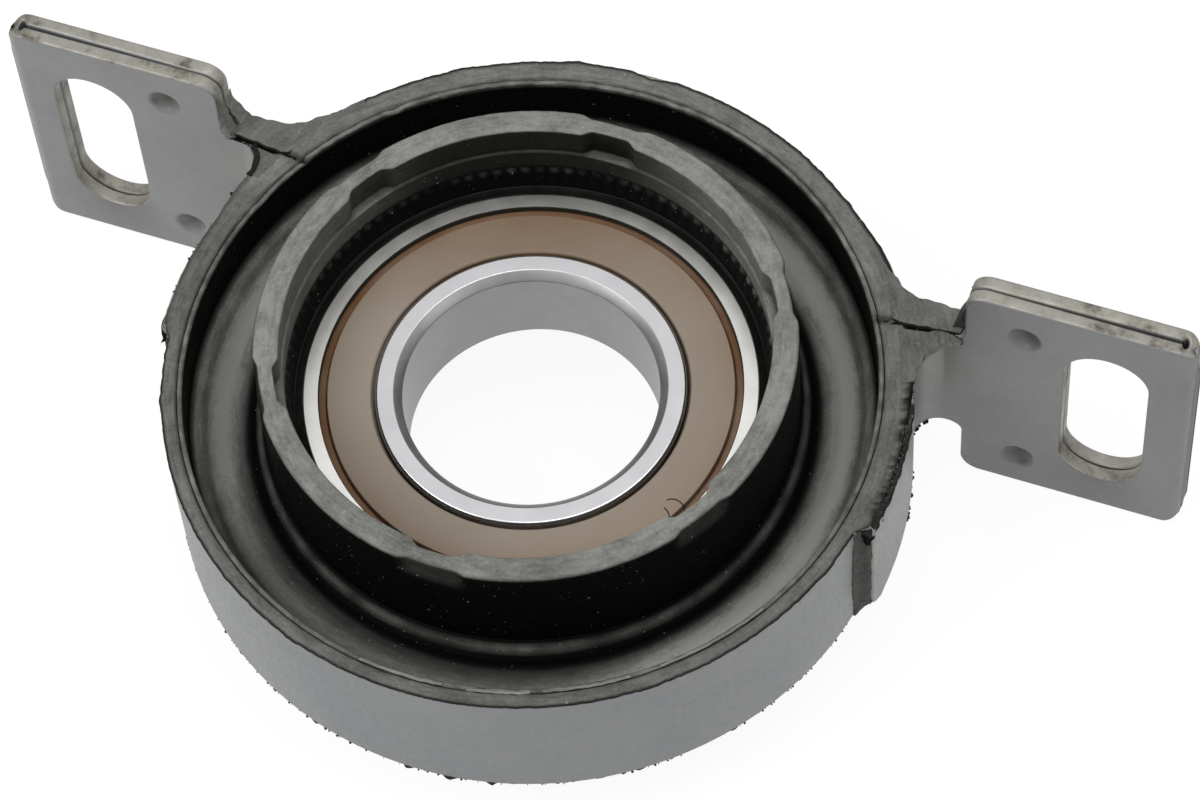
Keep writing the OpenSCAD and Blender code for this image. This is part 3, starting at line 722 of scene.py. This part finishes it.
# Share of dust and painted light from the vertices of the moulding and the flash.
bloom_and_painted_light = node(dusty_rubber, "ShaderNodeAttribute", attribute_name="dust_and_light").outputs["Fac"]
shine = node(dusty_rubber, "ShaderNodeAttribute", attribute_name="gloss").outputs["Fac"]
smear = grain(dusty_rubber, place, 160, 6, 0.7)
fine = grain(dusty_rubber, place, 2600, 3)
parts = node(dusty_rubber, "ShaderNodeSeparateXYZ", {"Vector": place}).outputs
drawn = reckon(dusty_rubber, "MULTIPLY", reckon(dusty_rubber, "ARCTAN2", parts["Y"], parts["X"]), 0.006)
along_parts = {"X": axis_distance(dusty_rubber, place), "Y": drawn, "Z": parts["Z"]}
along = node(dusty_rubber, "ShaderNodeCombineXYZ", along_parts).outputs[0]
streaks = grain(dusty_rubber, along, 1900, 4, 0.7)
patches = reckon(dusty_rubber, "MULTIPLY_ADD", fine, 0.6, reckon(dusty_rubber, "ADD", smear, streaks))
patchy = spread(dusty_rubber, patches, 0.9, 1.7, 0.28, 0.72)
crack_stops = [(0.485, (1, 1, 1)), (0.5, (0.86, 0.86, 0.86)), (0.515, (1, 1, 1))]
cracks = ramp(dusty_rubber, grain(dusty_rubber, along, 600, 3), crack_stops)
dust_and_light_level = reckon(dusty_rubber, "MULTIPLY", bloom_and_painted_light, reckon(dusty_rubber, "MULTIPLY", patchy, cracks))
dust_and_light_tone = ramp(dusty_rubber, dust_and_light_level, [
    (0.0, (0.002, 0.002, 0.002)), (0.25, (0.086, 0.088, 0.079)), (0.6, (0.232, 0.236, 0.218)),
])
speck_stops = [(0.752, (0, 0, 0)), (0.8, (0.7, 0.7, 0.7))]
specks = ramp(dusty_rubber, grain(dusty_rubber, place, 2600, 1), speck_stops)
feed(
    dusty_rubber,
    Base_Color=blended(dusty_rubber, specks, dust_and_light_tone, (0.33, 0.34, 0.33, 1)),
    Roughness=clouds(dusty_rubber, smear, 0.42, 0.58),
    Specular_IOR_Level=spread(dusty_rubber, shine, 0.0, 1.0, 0.03, 0.6),
    Normal=relief(dusty_rubber, [(fine, 0.25), (smear, 0.3), (streaks, 0.25)], 0.3 * mm),
)
rubber = piece_from(bm, "rubber_moulding", dusty_rubber, sharp=42)
flash = piece_from(flash_bm, "rubber_flash", dusty_rubber, sharp=42)
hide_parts("rubber_mount")
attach(flash, "bracket")
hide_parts("rubber_mount")
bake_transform(rubber, "bracket", "bearing_seat", start=(lining_r * mm, 0, 0), end=(collar_r * mm, 0, 0))
follow = rubber.data.attributes["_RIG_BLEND"]
for v, value in zip(rubber.data.vertices, follow.data):
    value.value = ease(lining_r, collar_r, math.hypot(v.co.x, v.co.y) / mm)

# Inner sleeve: a pressed steel cup bonded into the rubber hub.
# The bearing is pushed in from above and stops on the flange at its foot.
seat_r = 27.5
seat_out_r = 29.0
flange_r = 25.4
cup_foot = -7.5
flange_top = -6.5
cup_top = 6.8


def bare_steel(name, spots, tones, roughness, detail=5, **sockets):
    """Uncoated steel with soft clouds in its colour and its gloss."""
    material = finish(name, **sockets)
    haze = grain(material, object_place(material), spots, detail)
    feed(
        material,
        Base_Color=clouds(material, haze, *tones),
        Roughness=clouds(material, haze, *roughness),
    )
    return material


dull = {"Metallic": 0.5, "IOR": 1.5, "Specular_IOR_Level": 0.2}
# Near-black steel: painted shade for the cup, which shows in the gap between ring and rubber.
cup_shade_tones = ((0.02, 0.02, 0.02), (0.045, 0.044, 0.042))
cup_shade_steel = bare_steel("cup_shade_steel", 300, cup_shade_tones, (0.5, 0.65), **dull)
cup_profile = [
    (flange_r, cup_foot), (seat_out_r, cup_foot), (seat_out_r, cup_top), (seat_r, cup_top),
    (seat_r, flange_top), (flange_r, flange_top),
]
cup = piece_from(turned(cup_profile, 0.15, 240), "bearing_cup", cup_shade_steel)
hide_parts("inner_sleeve")
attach(cup, "bearing_seat")

# Bearing rings: hardened steel, turned and then ground, with a groove for the balls in each.
# Every corner is chamfered, so that the rings can be pressed in and the shaft pushed through.
half_width = 6.5
bore_r = 15.0
land_r = 18.2
groove_r = 3.713
groove_reach = 2.95
inner_groove_c = 21.343
outer_groove_c = 21.157
shoulder_z = 4.72
face_in_r = 24.7
face_out_r = 26.5
chamfer = 1.0
ring_edge_round = 0.1
ring_steps = 256


def raceway(centre, side, steps=8):
    """Points of a ball groove, from its upper to its lower edge."""
    heights = [groove_reach - 2 * groove_reach * i / steps for i in range(steps + 1)]
    return [(centre + side * math.sqrt(groove_r ** 2 - z * z), z) for z in heights]


def face_radius(face):
    middle = face.calc_center_median()
    return math.hypot(middle.x, middle.y)


bright = {"Metallic": 1.0, "IOR": 2.0}
turned_tones = ((0.62, 0.615, 0.59), (0.7, 0.695, 0.67))
chamfer_shade_tones = ((0.02, 0.019, 0.016), (0.045, 0.043, 0.036))
turned_steel = bare_steel("turned_steel", 260, turned_tones, (0.3, 0.36), **bright)
shaded_chamfer_steel = bare_steel("shaded_chamfer_steel", 260, chamfer_shade_tones, (0.4, 0.55), **dull)
upper = [
    (face_out_r, half_width), (face_in_r, half_width), (face_in_r, 5.6), (25.1, 5.6),
    (25.1, shoulder_z), (23.39, shoulder_z),
]
outer_profile = [(face_out_r, -half_width), (seat_r, chamfer - half_width), (seat_r, half_width - chamfer)]
outer_profile += upper + raceway(outer_groove_c, 1) + [(r, -z) for r, z in reversed(upper[1:])]
outer_bm = turned(outer_profile, ring_edge_round, ring_steps)
# Chamfers and the seal groove's wall take near-black steel: painted shade for their dark reflection.
for face in outer_bm.faces:
    face.material_index = int(not face_in_r + 0.08 < face_radius(face) < face_out_r + 0.05)
outer_ring = piece_from(outer_bm, "outer_race", turned_steel, sharp=50)
outer_ring.data.materials.append(shaded_chamfer_steel)
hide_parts("bearing_outer_ring")
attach(outer_ring, "bearing_seat")

ground_tones = ((0.54, 0.535, 0.55), (0.58, 0.575, 0.59))
bore_tones = ((0.265, 0.265, 0.265), (0.33, 0.33, 0.33))
ground_steel = bare_steel("ground_steel", 180, ground_tones, (0.22, 0.28), **bright)
bore_steel = bare_steel("bore_steel", 240, bore_tones, (0.38, 0.46), **bright)
flank = [
    (bore_r + chamfer, half_width), (land_r - 0.3, half_width), (land_r, half_width - 0.3),
    (land_r, shoulder_z), (19.1, shoulder_z - 0.32),
]
inner_profile = [(bore_r, chamfer - half_width), (bore_r, half_width - chamfer)]
inner_profile += flank + raceway(inner_groove_c, -1) + [(r, -z) for r, z in reversed(flank)]
inner_bm = turned(inner_profile, ring_edge_round, ring_steps)
for face in inner_bm.faces:
    face.material_index = int(face_radius(face) < bore_r + chamfer + 0.03)
inner_ring = piece_from(inner_bm, "inner_race", ground_steel, sharp=50)
inner_ring.data.materials.append(bore_steel)
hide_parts("bearing_inner_ring")
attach(inner_ring, "inner_ring")

# Balls, cage and rivets: polished balls in a cage of two pressed steel ribbons, riveted between them.
# The seals hide all of it.
polished_tones = ((0.74, 0.74, 0.76), (0.8, 0.8, 0.82))
pressed_tones = ((0.38, 0.36, 0.32), (0.5, 0.48, 0.44))
polished_steel = bare_steel("polished_steel", 900, polished_tones, (0.06, 0.12), detail=2, **bright)
pressed_steel = bare_steel("pressed_steel", 700, pressed_tones, (0.3, 0.45), detail=4, **bright)
for name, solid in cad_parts.items():
    if name.startswith("ball_") or name.startswith("cage_"):
        solid.data.materials.clear()
        solid.data.materials.append(polished_steel if name.startswith("ball_") else pressed_steel)

# Seals: brown rubber moulded on a thin disc, snapped into the outer ring.
# A groove runs round the edge, and the inner lip wipes the inner ring's land.
seal_top = 6.25
seal_step = 5.6
seal_bottom = 4.75
seal_in_r = 18.55
seal_out_r = 25.07
lip_r = 18.28
# Painted light on the seal: darker and browner behind as painted shade, lighter on the left as a painted
# reflection.
shade_spot = (-8.0 * mm, 21.5 * mm, seal_top * mm)
sheen_spot = (-21.5 * mm, -4.0 * mm, seal_top * mm)
shade_brown = (0.15, 0.085, 0.045, 1)
sheen_brown = (0.33, 0.285, 0.235, 1)
worn_brown = (0.29, 0.245, 0.2, 1)

brown_rubber = finish("brown_rubber", IOR=1.6, Specular_IOR_Level=0.2)
place = object_place(brown_rubber)
radius = axis_distance(brown_rubber, place)
# The seal's brown, by radius; the groove at its edge is painted darker as shade.
tint = ramp(brown_rubber, spread(brown_rubber, radius, 18.5 * mm, 24.7 * mm, 0.0, 1.0), [
    (0.0, (0.08, 0.06, 0.04)), (0.05, (0.245, 0.202, 0.16)), (0.5, (0.245, 0.198, 0.15)),
    (0.83, (0.235, 0.175, 0.125)), (0.865, (0.07, 0.03, 0.012)), (0.9, (0.165, 0.076, 0.026)),
    (1.0, (0.11, 0.05, 0.018)),
])
cloud = grain(brown_rubber, place, 140, 5)
worn = ramp(brown_rubber, cloud, [(0.4, (0, 0, 0)), (0.75, (0.4, 0.4, 0.4))])
pores = grain(brown_rubber, place, 3200, 2)
uneven = reckon(brown_rubber, "MULTIPLY_ADD", cloud, 6 * mm, distance(brown_rubber, place, shade_spot))
seal_painted_shade = spread(brown_rubber, uneven, 4 * mm, 24 * mm, 0.62, 0.0)
seal_painted_sheen = spread(brown_rubber, distance(brown_rubber, place, sheen_spot), 4 * mm, 18 * mm, 0.5, 0.0)
on_face = reckon(brown_rubber, "LESS_THAN", radius, 23.6 * mm)
tint = blended(brown_rubber, reckon(brown_rubber, "MULTIPLY", seal_painted_sheen, on_face), tint, sheen_brown)
tint = blended(brown_rubber, worn, tint, worn_brown)
feed(
    brown_rubber,
    Base_Color=blended(brown_rubber, seal_painted_shade, tint, shade_brown),
    Roughness=clouds(brown_rubber, cloud, 0.4, 0.55),
    Normal=relief(brown_rubber, [(pores, 0.15)], 0.2 * mm),
)
seal_profile = [
    (seal_in_r, seal_step), (seal_in_r, seal_top - 0.25), (18.8, seal_top), (23.72, seal_top),
    (23.9, seal_step), (seal_out_r, seal_step - 0.03), (seal_out_r, seal_bottom), (19.1, seal_bottom),
    (seal_in_r, 5.0), (lip_r, 5.0), (lip_r, 5.25),
]
for name, face in (("seal_upper", 1), ("seal_lower", -1)):
    seal_bm = turned(seal_profile, 0.08, ring_steps)
    bmesh.ops.scale(seal_bm, vec=(1, 1, face), verts=seal_bm.verts[:])
    seal = piece_from(seal_bm, name + "_disc", brown_rubber, sharp=50)
    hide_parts(name)
    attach(seal, "bearing_seat")

# Studio: a white floor that keeps the part's soft shadow, a white surround and three large soft lamps.
# The floor and the surround look white from the camera and in the metal, without lighting the part more.
floor_z = cad_low.z - 0.2 * mm
floor_size = 3.0
floor_glow = 0.9
bm = bmesh.new()
bmesh.ops.create_grid(bm, x_segments=1, y_segments=1, size=floor_size)
bmesh.ops.translate(bm, vec=(0, 0, floor_z), verts=bm.verts[:])
floor_mesh = bpy.data.meshes.new("floor")
bm.to_mesh(floor_mesh)
bm.free()
floor = bpy.data.objects.new("floor", floor_mesh)
bpy.context.scene.collection.objects.link(floor)


def looked_at(material):
    """1 where the camera looks, straight or by way of gloss and glass, and 0 for other light."""
    rays = node(material, "ShaderNodeLightPath").outputs
    straight = reckon(material, "MAXIMUM", rays["Is Camera Ray"], rays["Is Glossy Ray"])
    return reckon(material, "MAXIMUM", straight, rays["Is Transmission Ray"])


white_floor = bpy.data.materials.new("white_floor")
white_floor.use_nodes = True
white_floor.node_tree.nodes.clear()
share = reckon(white_floor, "MULTIPLY", looked_at(white_floor), floor_glow)
matt = node(white_floor, "ShaderNodeBsdfDiffuse", {"Color": (0.9, 0.9, 0.9, 1)})
glow = node(white_floor, "ShaderNodeEmission", {"Color": (1, 1, 1, 1), "Strength": 1.03})
mix = node(white_floor, "ShaderNodeMixShader", {0: share, 1: matt.outputs[0], 2: glow.outputs[0]})
node(white_floor, "ShaderNodeOutputMaterial", {"Surface": mix.outputs[0]})
floor_mesh.materials.append(white_floor)

world = bpy.data.worlds.new("studio")
bpy.context.scene.world = world
world.use_nodes = True
world.node_tree.nodes.clear()
strength = spread(world, looked_at(world), 0.0, 1.0, 0.5, 1.0)
surround = node(world, "ShaderNodeBackground", {"Color": (1, 1, 1, 1), "Strength": strength})
node(world, "ShaderNodeOutputWorld", {"Surface": surround.outputs[0]})

lamps = [
    ("key_lamp", (-0.4, -0.35, 0.6), 0.5, 3.2),
    ("top_lamp", (0.15, 0.05, 0.9), 0.6, 3.0),
    ("side_lamp", (0.7, -0.1, 0.35), 0.4, 0.6),
]
for name, spot, size, power in lamps:
    lamp = bpy.data.objects.new(name, bpy.data.lights.new(name, "AREA"))
    lamp.data.shape = "DISK"
    lamp.data.size = size
    lamp.data.energy = power
    lamp.location = spot
    lamp.rotation_mode = "QUATERNION"
    lamp.rotation_quaternion = (-Vector(spot)).to_track_quat("-Z", "Y")
    bpy.context.scene.collection.objects.link(lamp)
bpy.context.scene.view_settings.view_transform = "Standard"
